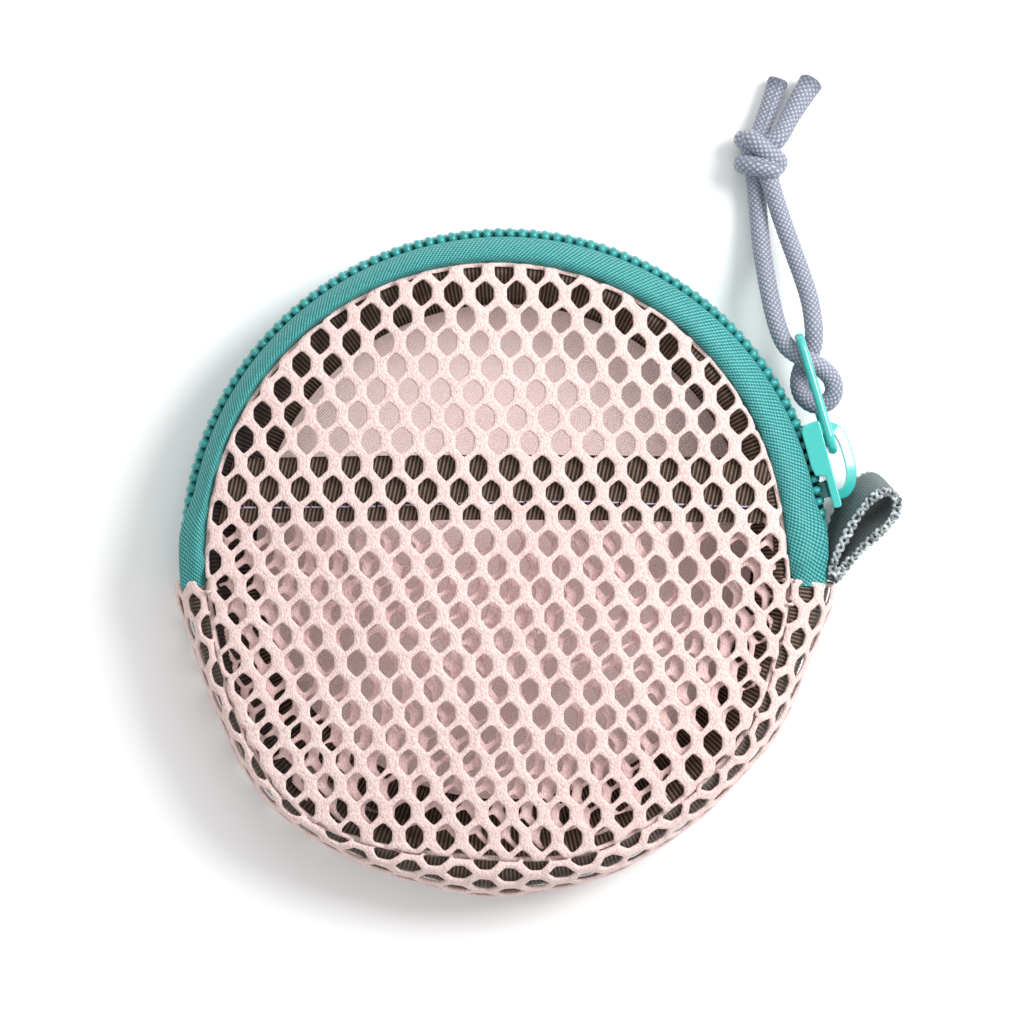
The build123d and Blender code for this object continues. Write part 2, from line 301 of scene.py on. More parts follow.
def front_surface(x, y):
    rho = np.hypot(x, y)
    th = np.arctan2(y, x)
    rp = rim_r(th)
    r0 = rp - 0.5
    e = np.maximum(rho - r0, 0)
    top = 1.45
    phi = np.minimum(e / FOLD, top)
    rest = np.maximum(e - FOLD * top, 0)
    rest = 1.0 * (1 - np.exp(-rest / 1.0))
    rr = np.minimum(rho, r0) + FOLD * np.sin(phi) + rest * math.cos(top)
    k = np.minimum(rho, r0) / np.maximum(rho, 1e-6)
    z = front_z(x * k, y * k) - FOLD * (1 - np.cos(phi)) - rest * math.sin(top)
    return np.column_stack([rr * np.cos(th), rr * np.sin(th), z])


def in_front(x, y):
    return np.hypot(x, y) < rim_r(np.arctan2(y, x)) + 1.9


front = knit_mesh("front_mesh", A_STEP, B_STEP, (-3.63, 12.03), in_front, front_surface, 0.62, size=0.945, seed=2)

# pocket: a second layer of the same mesh, close behind the front


def pocket_surface(x, y):
    th = np.arctan2(y, x)
    rp = rim_r(th)
    q = np.hypot(x, y) / rp
    z = front_z(x, y) - 1.15 - 0.7 * np.clip((1 - q) * 2.2, 0, 1) + 0.2 * soft_noise(x, y, 17, 24)
    z = z - np.maximum(np.hypot(x, y) - (rp - 3), 0) * 0.5
    return np.column_stack([x, y, z])


def in_pocket(x, y):
    return (np.hypot(x, y) < rim_r(np.arctan2(y, x)) - 1.8) & (y < 5.1)


ang = math.radians(-7.5)
rot = np.array([[math.cos(ang), -math.sin(ang)], [math.sin(ang), math.cos(ang)]])
pocket = knit_mesh("pocket_layer", rot @ np.array(A_STEP) * 0.93, rot @ np.array(B_STEP) * 0.96, (1.1, 1.2),
                   in_pocket, pocket_surface, 0.55, size=0.90, turn=ang, seed=5, jitter=0.08)


# ------------------------------------------------------------------ lower gusset
G_A, G_B = math.radians(-174.6), math.radians(-5.6)      # its two hems
G_R = 46.0


def gusset_section(theta):
    rp, rs, zc = rim_r(theta), side_r(theta), rim_z(theta)
    wdt = rs - rp
    pts = [(rp + 0.2, zc - 2.3), (rp + 0.42, zc - 0.62), (rp + 0.45 + 0.36 * wdt, zc - 0.95),
           (rp + 0.8 * wdt, zc - 3.2), (rs - 0.05, zc - 6.6), (rs, 5.2), (rs - 0.9, 2.2), (rs - 3.0, 0.75),
           (rs - 5.0, 0.55)]
    return np.stack([np.column_stack([p[0], p[1] * np.ones_like(theta)]) for p in pts])


def gusset_base(s, v):
    """s runs along the arc from the left hem, v down from the crease, both in mm."""
    theta = G_A + s / G_R
    sec = gusset_section(theta)
    t = np.linspace(0, 1, 40)
    line = np.stack([catmull(sec, np.full_like(theta, k)) for k in t])
    seg = np.linalg.norm(np.diff(line, axis=0), axis=2)
    cum = np.concatenate([np.zeros((1, len(theta))), np.cumsum(seg, 0)])
    vv = np.clip(v, 0, cum[-1] - 1e-6)
    idx = np.clip((cum <= vv[None]).sum(0) - 1, 0, len(t) - 2)
    n = np.arange(len(theta))
    f = (vv - cum[idx, n]) / np.maximum(cum[idx + 1, n] - cum[idx, n], 1e-9)
    rz = line[idx, n] * (1 - f)[:, None] + line[idx + 1, n] * f[:, None]
    wave = 0.18 * soft_noise(s, v, 23, 14) * np.clip(v / 4, 0, 1)
    r = rz[:, 0] + wave
    return np.column_stack([r * np.cos(theta), r * np.sin(theta), np.maximum(rz[:, 1], 0.35)])


G_LEN = (G_B - G_A) * G_R
HEM_R = 0.55


def gusset_surface(s, v):
    """The strip with its two ends folded under."""
    def fold(e):
        phi = np.clip(e / HEM_R, 0, math.pi)
        along = HEM_R * np.sin(phi) - np.maximum(e - HEM_R * math.pi, 0)
        return along, HEM_R * (1 - np.cos(phi))
    eb, ea = np.maximum(s - (G_LEN - HEM_R), 0), np.maximum(HEM_R - s, 0)
    ab, db = fold(eb)
    aa, da = fold(ea)
    s2 = np.clip(s, HEM_R, G_LEN - HEM_R) + ab - aa
    h = 0.05
    p = gusset_base(s2, v)
    du = gusset_base(s2 + h, v) - gusset_base(s2 - h, v)
    dv = gusset_base(s2, v + h) - gusset_base(s2, v - h)
    n = np.cross(du, dv)
    n /= np.maximum(np.linalg.norm(n, axis=1, keepdims=True), 1e-9)
    outward = np.sign(np.sum(n[:, :2] * p[:, :2], axis=1) + 1e-9)
    return p - n * outward[:, None] * (da + db)[:, None]


def in_gusset(s, v):
    return (s > -2.6) & (s < G_LEN + 2.6) & (v > 0.4) & (v < 21.5)


gusset = knit_mesh("gusset_strip", (0.05, -4.3), (3.66, -2.15), (3.4, 4.0), in_gusset, gusset_surface, 0.62,
                   size=0.92, turn=math.pi / 2, seed=9)


# ------------------------------------------------------------------ strips that follow the rim
def strip(name, line_fn, n_u, n_v, thick, closed=False, ribs=None, length=None):
    """A ribbon as a closed solid. line_fn(u, v) gives points for u along and v across, both 0..1.
    ribs = (count, depth in mm)."""
    u = np.linspace(0, 1, n_u, endpoint=not closed)
    v = np.linspace(0, 1, n_v)
    uu, vv = [q.ravel() for q in np.meshgrid(u, v, indexing="ij")]
    h = 1e-3
    p = line_fn(uu, vv)
    du = line_fn(uu + h, vv) - line_fn(uu - h, vv)
    dv = line_fn(uu, vv + h) - line_fn(uu, vv - h)
    n = np.cross(du, dv)
    n /= np.maximum(np.linalg.norm(n, axis=1, keepdims=True), 1e-12)
    rib = 0
    edge = np.sqrt(np.clip(1 - (2 * vv - 1) ** 8, 0.05, 1))
    if ribs:
        rib = ribs[1] * (0.5 + 0.5 * np.cos(2 * math.pi * ribs[0] * uu)) * edge
    top = p + n * (thick / 2 * edge + rib)[:, None]
    bot = p - n * (thick / 2 * edge + rib)[:, None]
    size = length or (1.0, 1.0)
    tx = np.column_stack([uu * size[0], vv * size[1], np.zeros_like(uu)])
    m = len(p)
    faces = grid_faces(n_u, n_v, wrap_n=closed) + grid_faces(n_u, n_v, wrap_n=closed, base=m, flip=True)
    for i in range(n_u if closed else n_u - 1):
        i2 = (i + 1) % n_u
        faces.append((i * n_v, m + i * n_v, m + i2 * n_v, i2 * n_v)[::-1])
        faces.append((i2 * n_v + n_v - 1, m + i2 * n_v + n_v - 1, m + i * n_v + n_v - 1, i * n_v + n_v - 1)[::-1])
    if not closed:
        for j in range(n_v - 1):
            faces.append((j, j + 1, m + j + 1, m + j)[::-1])
            k = (n_u - 1) * n_v
            faces.append((k + j + 1, k + j, m + k + j, m + k + j + 1)[::-1])
    return new_object(name, np.concatenate([top, bot]), faces, np.concatenate([tx, tx]))


def polar(theta, r, z):
    return np.column_stack([r * np.cos(theta), r * np.sin(theta), z * np.ones_like(theta)])


Z_A, Z_B = math.radians(-6.4), math.radians(186.4)       # the tapes' ends


def end_drop(theta):
    d = np.degrees(theta)
    return 1.3 * (np.clip((-1.5 - d) / 4, 0, 1) + np.clip((d - 181.5) / 4, 0, 1))


def front_tape_line(u, v):
    th = Z_A + (Z_B - Z_A) * u
    rp, zc = rim_r(th), rim_z(th)
    drop = end_drop(th)
    ro = 44.62
    d = np.degrees(th)
    over = np.clip((11 - d) / 9, 0, 1) + np.clip((d - 168) / 10, 0, 1)
    over = over * over * (3 - 2 * over) * 1.55
    rb = ro + over
    pts = [(rp + 0.15, zc - 3.1), (rp + 0.42, zc - 1.7), (rp + 0.82, zc - 0.62), (rp + 0.40 * (rb - rp), zc - 0.25),
           (rp + 0.66 * (rb - rp), zc - 1.0), (rp + 0.95 * (rb - rp), ZC + 4.5), (ro + 0.55 * over, ZC + 3.75), (ro - 0.1, ZC + 2.0),
           (ro - 0.12, ZC + 0.25)]
    sec = np.stack([np.column_stack([q[0] * np.ones_like(th), q[1] * np.ones_like(th)]) for q in pts])
    rz = catmull(sec, np.clip(v, 0, 1))
    rz[:, 1] -= drop * np.clip(1 - v, 0, 1)
    return polar(th, rz[:, 0], rz[:, 1])


def back_tape_line(u, v):
    th = Z_A + (Z_B - Z_A) * u
    ro = 44.62
    rb = 42.3
    pts = [(rb - 1.8, 0.9), (rb - 0.4, 0.5), (rb + 0.7, 0.75), (ro - 0.45, 2.0), (ro, 3.7), (ro, ZC - 3.0),
           (ro - 0.1, ZC - 1.6), (ro - 0.12, ZC - 0.25)]
    sec = np.stack([np.column_stack([q[0] * np.ones_like(th), q[1] * np.ones_like(th)]) for q in pts])
    rz = catmull(sec, np.clip(v, 0, 1))
    return polar(th, rz[:, 0], rz[:, 1])


front_tape = strip("tape_front", front_tape_line, 560, 34, 0.5, length=(150.0, 12.0))
back_tape = strip("tape_back", back_tape_line, 560, 30, 0.5, length=(150.0, 12.0))


# ------------------------------------------------------------------ element coils
def tube_mesh(name, line, radius, sides=10, closed=False, squash_fn=None, attr=None, smooth=True, profile=None,
              cap=True, up=None):
    """Round tube along a line (n, 3) in mm, with parallel-transported frames."""
    line = np.asarray(line, float)
    n = len(line)
    tan = np.gradient(line, axis=0)
    if closed:
        tan = np.roll(line, -1, 0) - np.roll(line, 1, 0)
    tan /= np.maximum(np.linalg.norm(tan, axis=1, keepdims=True), 1e-12)
    nor = np.zeros_like(line)
    ref = np.array(up if up is not None else (0, 0, 1.0), float)
    first = ref - tan[0] * (ref @ tan[0])
    if np.linalg.norm(first) < 0.1:
        ref = np.array([1.0, 0, 0])
        first = ref - tan[0] * (ref @ tan[0])
    nor[0] = first / np.linalg.norm(first)
    for i in range(1, n):
        w = nor[i - 1] - tan[i] * (nor[i - 1] @ tan[i])
        nor[i] = w / np.linalg.norm(w)
    bi = np.cross(tan, nor)
    rad = np.broadcast_to(np.asarray(radius, float), (n,)) if np.ndim(radius) < 2 else None
    seg = np.linalg.norm(np.diff(line, axis=0), axis=1)
    s = np.concatenate([[0], np.cumsum(seg)])
    phi = np.arange(sides) * 2 * math.pi / sides
    r = (rad[:, None] * np.ones((1, sides))) if profile is None else profile(s[:, None], phi[None, :], rad[:, None])
    pts = (line[:, None, :] + nor[:, None, :] * (np.cos(phi)[None, :] * r)[..., None]
           + bi[:, None, :] * (np.sin(phi)[None, :] * r)[..., None]).reshape(-1, 3)
    faces = grid_faces(n, sides, wrap_n=closed, wrap_m=True, flip=True)
    tx = np.column_stack([np.repeat(s, sides), np.tile(phi, n), np.zeros(n * sides)])
    if cap and not closed:
        pts = np.concatenate([pts, line[:1], line[-1:]])
        tx = np.concatenate([tx, [[0, 0, 1], [s[-1], 0, 1]]])
        a, b = n * sides, n * sides + 1
        for k in range(sides):
            k2 = (k + 1) % sides
            faces.append((a, k2, k)[::-1])
            faces.append((b, (n - 1) * sides + k, (n - 1) * sides + k2)[::-1])
    return new_object(name, pts, faces, tx, smooth=smooth)


PITCH_DEG = math.degrees(1.67 / 45.6)


def coil(name, sign, shift):
    lo, hi = -5.6, 185.6
    per = 18
    turns = int((hi - lo) / PITCH_DEG)
    t = np.arange(turns * per + 1) / per
    a = 2 * math.pi * t
    th = np.radians(lo + (t + shift) * PITCH_DEG)
    # an upright, slightly squared oval for each turn
    ca, sa_ = np.cos(a), np.sin(a)
    ez = np.sign(ca) * np.abs(ca) ** 0.8
    er = np.sign(sa_) * np.abs(sa_) ** 0.9
    z = ZC + sign * (1.42 + 1.42 * ez)
    r = 45.25 + 0.46 * er
    # the wire moves on to the next turn while it is hidden, so the bars seen are square to the chain
    th = th + np.radians(PITCH_DEG) * (-np.sin(a) / (2 * math.pi) * 0.95)
    line = np.column_stack([r * np.cos(th), r * np.sin(th), z])
    rad = 0.58 - 0.10 * np.clip(-ez, 0, 1)
    return tube_mesh(name, line, rad, sides=10)


front_coil = coil("coil_front", 1, 0.0)
back_coil = coil("coil_back", -1, 0.5)


# ------------------------------------------------------------------ grosgrain ribbons
def front_binding_line(u, v):
    th = 2 * math.pi * u
    rp, zc = rim_r(th), rim_z(th)
    d = np.degrees(th) % 360
    wide = np.interp(d, [0, 40, 90, 120, 150, 180, 200, 235, 270, 320, 360], [3.5, 3.2, 3.2, 3.6, 3.9, 3.7, 2.8, 3.0, 3.4, 3.2, 3.4])
    pts = [(rp - 0.35, zc - 1.45), (rp - 1.4, zc - 1.65), (rp - 1.1 - 0.5 * wide, zc - 2.7), (rp - 1.1 - wide, zc - 4.0)]
    sec = np.stack([np.column_stack([q[0] * np.ones_like(th), q[1] * np.ones_like(th)]) for q in pts])
    rz = catmull(sec, np.clip(v, 0, 1))
    return polar(th, rz[:, 0], rz[:, 1] + 0.25 * np.sin(5 * th) * v)


def back_binding_line(u, v):
    th = 2 * math.pi * u
    r = 41.6 - 6.0 * v
    z = 1.5 + 2.0 * np.sin(math.pi * np.clip(v, 0, 1) * 0.5) + 0.3 * np.sin(7 * th) * v
    return polar(th, r, z)


def lining_line(u, v):
    th = math.radians(-173) + math.radians(167) * u
    s = (th - G_A) * G_R
    p = gusset_base(s, 3.0 + 10.0 * np.clip(v, 0, 1))
    r = np.hypot(p[:, 0], p[:, 1]) - 1.15
    return polar(th, r, p[:, 2] - 0.25)


def pocket_binding_line(u, v):
    y = 4.0 + 9.2 * v
    x = -40.4 + (39.4 + 37.6) * u + 2.1 * v
    y = y + 0.6 * (1 - (x / 40) ** 2)
    z = front_z(x, y) - 1.05 - 0.25 * np.clip((1 - np.abs(x) / 40) * 3, 0, 1) + 0.08 * soft_noise(x, y, 31, 22)
    return np.column_stack([x, y, z])


RIB = 0.60
front_binding = strip("binding_front_seam", front_binding_line, 430 * 6, 9, 0.5, closed=True, ribs=(430, 0.13),
                      length=(258.0, 7.0))
back_binding = strip("binding_back_seam", back_binding_line, 430 * 4, 7, 0.5, closed=True, ribs=(430, 0.13),
                     length=(258.0, 6.0))
lining = strip("ribbon_gusset_lining", lining_line, 230 * 6, 9, 0.45, ribs=(230, 0.12), length=(138.0, 10.0))
pocket_binding = strip("binding_pocket", pocket_binding_line, 128 * 8, 16, 0.5, ribs=(128, 0.13), length=(77.0, 8.5))

# stitch line along the ribbon's lower part
stitches = []
x = -38.6
while x < 37.0:
    l = 1.55 + 0.12 * math.sin(x)
    p = np.array([[x + l * q, 6.3 + 0.9 * math.exp(-((x - 6) / 22) ** 2) + 0.04 * math.sin(9 * x)]
                  for q in np.linspace(0, 1, 7)])
    uvv = (p[:, 1] - 0.6 * (1 - (p[:, 0] / 40) ** 2) - 4.0) / 9.2
    zz = pocket_binding_line((p[:, 0] + 40.4 - 2.1 * uvv) / 77.0, uvv)[:, 2] + 0.40 + 0.16 * np.sin(np.linspace(0, math.pi, 7))
    stitches.append(np.column_stack([p, zz]))
    x += l + 0.35


def joined(objs, name):
    bpy.ops.object.select_all(action="DESELECT")
    for o in objs:
        o.select_set(True)
    bpy.context.view_layer.objects.active = objs[0]
    bpy.ops.object.join()
    objs[0].name = name
    objs[0].data.name = name
    return objs[0]


pocket_stitch = joined([tube_mesh("stitch", s_, 0.14, sides=6) for s_ in stitches], "pocket_stitching")


# ------------------------------------------------------------------ back panel
def back_panel_mesh():
    rings, sides = 44, 180
    th = np.arange(sides) * 2 * math.pi / sides
    rb = np.where(np.sin(th) > -0.08, 41.6, 44.0)
    for _ in range(12):
        rb = 0.25 * np.roll(rb, 1) + 0.5 * rb + 0.25 * np.roll(rb, -1)
    verts, faces, tx = [], [], []
    layers = []
    for side in (1, -1):
        idx = []
        for k in range(rings + 1):
            q = k / rings
            row = []
            for j in range(sides):
                r = rb[j] * q
                x_, y_ = r * math.cos(th[j]), r * math.sin(th[j])
                zz = 0.62 + 0.14 * float(soft_noise(np.array([x_]), np.array([y_]), 41, 26)[0]) * (1 - q ** 3)
                zz += 0.35 * max(0.0, q - 0.9) / 0.1 * 0.6
                t = 0.32 * (math.sqrt(max(0.0, 1 - q ** 10)) * 0.9 + 0.1)
                verts.append((x_, y_, max(zz + side * t, 0.12) if side < 0 else zz + t))
                tx.append((x_, y_, side))
                row.append(len(verts) - 1)
                if k == 0:
                    break
            idx.append(row)
        layers.append(idx)
    for side, idx in zip((1, -1), layers):
        for j in range(sides):
            j2 = (j + 1) % sides
            f = (idx[0][0], idx[1][j], idx[1][j2])
            faces.append(f if side > 0 else f[::-1])
            for k in range(1, rings):
                f = (idx[k][j], idx[k + 1][j], idx[k + 1][j2], idx[k][j2])
                faces.append(f if side > 0 else f[::-1])
    for j in range(sides):
        j2 = (j + 1) % sides
        faces.append((layers[0][rings][j2], layers[0][rings][j], layers[1][rings][j], layers[1][rings][j2]))
    return new_object("back_fabric", verts, faces, tx)


back = back_panel_mesh()

# ------------------------------------------------------------------ pull cord
D = 2.7
KNOT = np.array([36.9, 56.7, 3.72])
END_L = [(36.8, 60.0, 2.6), (37.9, 63.3, 2.0), (39.6, 68.1, 1.6)]
END_R = [(39.5, 59.2, 5.0), (41.4, 63.2, 3.5), (44.4, 67.9, 2.0)]
BIGHT = [(39.7, 30.5, 8.9), (40.5, 29.1, 9.4), (42.7, 27.6, 10.1), (44.9, 26.6, 10.0), (46.8, 25.0, 9.6),
         (47.3, 23.0, 9.2), (46.4, 21.3, 8.7), (44.4, 20.9, 8.2), (42.6, 22.2, 7.7), (42.1, 24.5, 7.2),
         (42.9, 26.9, 7.0), (44.1, 28.8, 7.3), (44.4, 30.6, 7.7)]
STRAND_L = [(39.0, 32.5, 8.1), (38.2, 36.0, 6.9), (37.5, 40.2, 5.1), (36.9, 44.6, 3.4), (36.6, 49.0, 2.4),
            (36.2, 53.2, 2.3)]
STRAND_R = [(44.3, 32.5, 7.9), (43.9, 35.9, 7.0), (42.6, 40.1, 5.8), (41.0, 44.6, 4.7), (39.5, 49.0, 4.2),
            (38.2, 53.2, 4.4)]


def knot_turn(y_mid, tilt, core, start, way, r_w=2.45, r_z=2.3, drop=0.0, n=12):
    """One strand's way through the knot: down the core, once round it on a tilted ring, and on down the core."""
    pts = [core + np.array([0, 1.8, 0.2])]
    for k in range(n + 1):
        a = start + way * 2 * math.pi * k / n
        f = 0.74 if k in (0, n) else 1.0
        px, pz = r_w * f * math.cos(a), r_z * f * math.sin(a)
        py = y_mid + px * math.tan(tilt) - drop * (k / n - 0.5)
        pts.append(np.array([px, py, pz]))
    pts += [core + np.array([0, -1.8, -0.2])]
    return [tuple(KNOT + p) for p in pts]


turn_l = knot_turn(1.10, math.radians(-36), np.array([-0.70, 0, -0.5]), math.radians(150), -1, r_w=2.6, drop=0.7)
turn_r = knot_turn(-1.20, math.radians(-6), np.array([0.80, 0, 0.4]), math.radians(20), -1, r_w=2.6, drop=0.9)
ROUTE = (END_L[::-1] + turn_l + STRAND_L[::-1] + BIGHT + STRAND_R + turn_r[::-1] + END_R)


def nurbs_line(points, name="route", per=10):
    """The points in mm that a NURBS spline with these control points runs through."""
    cu = bpy.data.curves.new(name, "CURVE")
    cu.dimensions = "3D"
    sp = cu.splines.new("NURBS")
    sp.points.add(len(points) - 1)
    for q, p in zip(sp.points, points):
        q.co = (p[0] * MM, p[1] * MM, p[2] * MM, 1)
    sp.order_u = 3
    sp.use_endpoint_u = True
    sp.resolution_u = per
    ob = bpy.data.objects.new(name, cu)
    bpy.context.scene.collection.objects.link(ob)
    bpy.context.view_layer.update()
    me = bpy.data.meshes.new_from_object(ob.evaluated_get(bpy.context.evaluated_depsgraph_get()))
    line = np.array([v.co for v in me.vertices], float) / MM
    bpy.data.objects.remove(ob)
    return line


def resample(line, step):
    seg = np.linalg.norm(np.diff(line, axis=0), axis=1)
    s = np.concatenate([[0], np.cumsum(seg)])
    n = int(s[-1] / step)
    q = np.linspace(0, s[-1], n + 1)
    return np.column_stack([np.interp(q, s, line[:, k]) for k in range(3)]), q


cord_line = nurbs_line(ROUTE)
cord_fine, cord_s = resample(cord_line, 0.16)
CORD_LEN = cord_s[-1]
dist_knot = np.linalg.norm((cord_fine - KNOT) / np.array([1, 1, 1]), axis=1)
squeeze = 1 + 0.06 * np.clip((4.3 - dist_knot) / 1.2, 0, 1)
from_l, from_r = cord_s, CORD_LEN - cord_s
flare = 1 + 0.16 * np.clip(1 - from_l / 5, 0, 1) ** 2 + 0.36 * np.clip(1 - from_r / 8, 0, 1) ** 1.3
tip = np.sqrt(np.clip(np.minimum(from_l, from_r) / 0.35, 0, 1)) * 0.22 + 0.78
cord_rad = 1.30 * squeeze * flare * tip


def braid(s, phi, r):
    """Raised plaits of a round braid."""
    k = 2 * math.pi / 1.55
    w = np.abs(np.sin(5 * phi + k * s)) ** 0.7 * np.abs(np.sin(5 * phi - k * s)) ** 0.7
    return r * (0.965 + 0.085 * w)


pull_cord = tube_mesh("pull_cord", cord_fine, cord_rad, sides=40, profile=braid)

# ------------------------------------------------------------------ side tab of webbing
TAB_TOP = [(46.4, -3.9), (47.1, -0.9), (48.6, 2.2), (50.3, 5.2), (52.2, 7.5), (54.2, 8.6), (55.7, 7.7), (55.7, 5.6),
           (54.3, 3.7), (52.4, 2.0), (50.2, -0.1), (48.3, -2.2), (46.9, -4.3)]
SHIFT = np.array([0.1, 0.5, 0.85, 1, 1, 1, 1, 1, 1, 1, 0.9, 0.55, 0.1])
TAB_LOW = [(x_ - 1.6 * k, y_ + 2.5 * k) for (x_, y_), k in zip(TAB_TOP, SHIFT)]
T_SIDE = 0.52


def tab_line(u, v):
    top = catmull(np.array(TAB_TOP, float), u)
    low = catmull(np.array(TAB_LOW, float), u)
    f = v[:, None] if np.ndim(v) else v
    xy = low * (1 - f) + top * f
    z = 3.7 + 9.8 * v
    return np.column_stack([xy, z * np.ones(len(xy))])


def webbing():
    n_u, n_v = 150, 26
    u = np.linspace(0, 1, n_u)
    v = np.linspace(0, 1, n_v)
    uu, vv = [q.ravel() for q in np.meshgrid(u, v, indexing="ij")]
    h = 1e-3
    du = tab_line(np.clip(uu + h, 0, 1), vv) - tab_line(np.clip(uu - h, 0, 1), vv)
    dv = tab_line(uu, vv + h) - tab_line(uu, vv - h)
    n = np.cross(du, dv)
    n /= np.linalg.norm(n, axis=1, keepdims=True)
    s = uu * 34.0
    rib = 0.05 * np.sin(2 * math.pi * s / 0.75) * np.sign(np.sin(2 * math.pi * vv * 7))
    edge = np.clip(1 - (2 * vv - 1) ** 10, 0.0, 1) ** 0.5 * 0.45 + 0.55
    t = (T_SIDE * edge + rib)[:, None]
    p = tab_line(uu, vv)
    m = len(p)
    faces = grid_faces(n_u, n_v) + grid_faces(n_u, n_v, base=m, flip=True)
    for i in range(n_u - 1):
        faces.append((i * n_v, m + i * n_v, m + (i + 1) * n_v, (i + 1) * n_v)[::-1])
        k, k2 = i * n_v + n_v - 1, (i + 1) * n_v + n_v - 1
        faces.append((k2, m + k2, m + k, k)[::-1])
    for j in range(n_v - 1):
        faces.append((j, j + 1, m + j + 1, m + j)[::-1])
        k = (n_u - 1) * n_v
        faces.append((k + j + 1, k + j, m + k + j, m + k + j + 1)[::-1])
    tx = np.column_stack([s, vv * 9.8, np.ones(m)])
    return new_object("tab_webbing", np.concatenate([p + n * t, p - n * t]), faces, np.concatenate([tx, tx]))


tab = webbing()


def edge_threads(v_edge, lift, name):
    out = []
    u = np.linspace(0.02, 0.98, 420)
    base = tab_line(u, np.full_like(u, v_edge))
    du = np.gradient(base, axis=0)
    du /= np.linalg.norm(du, axis=1, keepdims=True)
    upv = np.array([0, 0, 1.0 if v_edge > 0.5 else -1.0])
    side_v = np.cross(du, upv)
    side_v /= np.linalg.norm(side_v, axis=1, keepdims=True)
    s = u * 34.0
    for ph in (0.0, math.pi):
        a = 2 * math.pi * s / 1.9 + ph
        off = side_v * ((0.46 if v_edge > 0.5 else 0.3) * np.sin(a) + 0.08 * np.sin(2.3 * s + ph))[:, None]
        hgt = upv * (lift + 0.15 * np.cos(2 * a + ph))[:, None]
        out.append(tube_mesh(name, base + off + hgt, 0.26 if v_edge > 0.5 else 0.2, sides=8))
    return out


tab_threads = joined(edge_threads(1.0, 0.10, "thread_a") + edge_threads(0.0, 0.10, "thread_b"), "tab_edge_threads")

# ------------------------------------------------------------------ slider castings, rounded from the CAD shapes
def casting(key, name, voxel=0.10, rounds=5):
    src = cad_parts[key]
    me = src.data.copy()
    me.transform(src.matrix_world)
    ob = bpy.data.objects.new(name, me)
    bpy.context.scene.collection.objects.link(ob)
    me.materials.clear()
    m = ob.modifiers.new("solid", "REMESH")
    m.mode = "VOXEL"
    m.voxel_size = voxel * MM
    m.use_smooth_shade = True
    k = ob.modifiers.new("soft", "SMOOTH")
    k.factor = 0.5
    k.iterations = rounds
    bpy.context.view_layer.update()
    new = bpy.data.meshes.new_from_object(ob.evaluated_get(bpy.context.evaluated_depsgraph_get()))
    new.name = name
    ob.modifiers.clear()
    ob.data = new
    return ob


def bow_casting(name, path, half, z0, z1, angle, n=90):
    """A flat bow along a path given as (outward, along the chain), its upper face sloping outwards."""
    e_r = np.array([math.cos(angle), math.sin(angle)])
    e_t = np.array([-math.sin(angle), math.cos(angle)])
    c = catmull(np.array(path, float), np.linspace(0, 1, n))
    d = np.gradient(c, axis=0)
    d /= np.linalg.norm(d, axis=1, keepdims=True)
    side = np.column_stack([-d[:, 1], d[:, 0]])
    if np.sum(side * (c - np.array([47.0, 0.3]))) < 0:
        side = -side
    rows = []
    for k, z in ((half, z0 + 0.5), (half, z1 - 0.6), (-half, z1), (-half, z0)):
        flat = c + side * k
        rows.append(np.column_stack([flat[:, :1] * e_r + flat[:, 1:] * e_t, np.full(n, z)]))
    pts = np.stack(rows, 1).reshape(-1, 3)
    faces = grid_faces(n, 4, wrap_m=True, flip=True)
    faces += [(0, 1, 2, 3), ((n - 1) * 4 + 3, (n - 1) * 4 + 2, (n - 1) * 4 + 1, (n - 1) * 4)]
    return new_object(name, pts, faces)


def cast_round(ob, voxel, rounds):
    m = ob.modifiers.new("solid", "REMESH")
    m.mode = "VOXEL"
    m.voxel_size = voxel * MM
    m.use_smooth_shade = True
    k = ob.modifiers.new("soft", "SMOOTH")
    k.factor = 0.5
    k.iterations = rounds
    bpy.context.view_layer.update()
    new = bpy.data.meshes.new_from_object(ob.evaluated_get(bpy.context.evaluated_depsgraph_get()))
    new.name = ob.name
    ob.modifiers.clear()
    ob.data = new
    return ob


SLIDER_A = math.radians(15.2)
slider_shell = casting("slider_body", "slider_shell", 0.10, 8)
slider_ring = cast_round(bow_casting(
    "slider_ring",
    [(47.75, 5.15), (49.2, 5.1), (50.3, 4.4), (50.9, 2.8), (51.05, 0.5), (50.95, -1.6), (50.4, -3.3), (49.3, -4.45),
     (47.75, -4.6)],
    0.76, ZC - 1.45, ZC + 1.45, SLIDER_A), 0.09, 10)

# ------------------------------------------------------------------ materials
def nodes_of(name):
    m = bpy.data.materials.new(name)
    m.use_nodes = True
    nt = m.node_tree
    bsdf = nt.nodes["Principled BSDF"]
    return m, nt, bsdf


def node(nt, kind, **values):
    n = nt.nodes.new(kind)
    for k, v in values.items():
        setattr(n, k, v)
    return n


def attribute(nt, key):
    a = node(nt, "ShaderNodeAttribute", attribute_name=key)
    return a.outputs["Vector"]


def math_node(nt, op, a, b=None, clamp=False):
    n = node(nt, "ShaderNodeMath", operation=op, use_clamp=clamp)
    for i, v in enumerate((a, b)):
        if v is None:
            continue
        if isinstance(v, (int, float)):
            n.inputs[i].default_value = v
        else:
            nt.links.new(v, n.inputs[i])
    return n.outputs[0]


def ramp(nt, fac, stops):
    r = node(nt, "ShaderNodeValToRGB")
    el = r.color_ramp.elements
    while len(el) < len(stops):
        el.new(0.5)
    for e, (p, c) in zip(el, stops):
        e.position = p
        e.color = (*c, 1)
    nt.links.new(fac, r.inputs[0])
    return r.outputs[0]


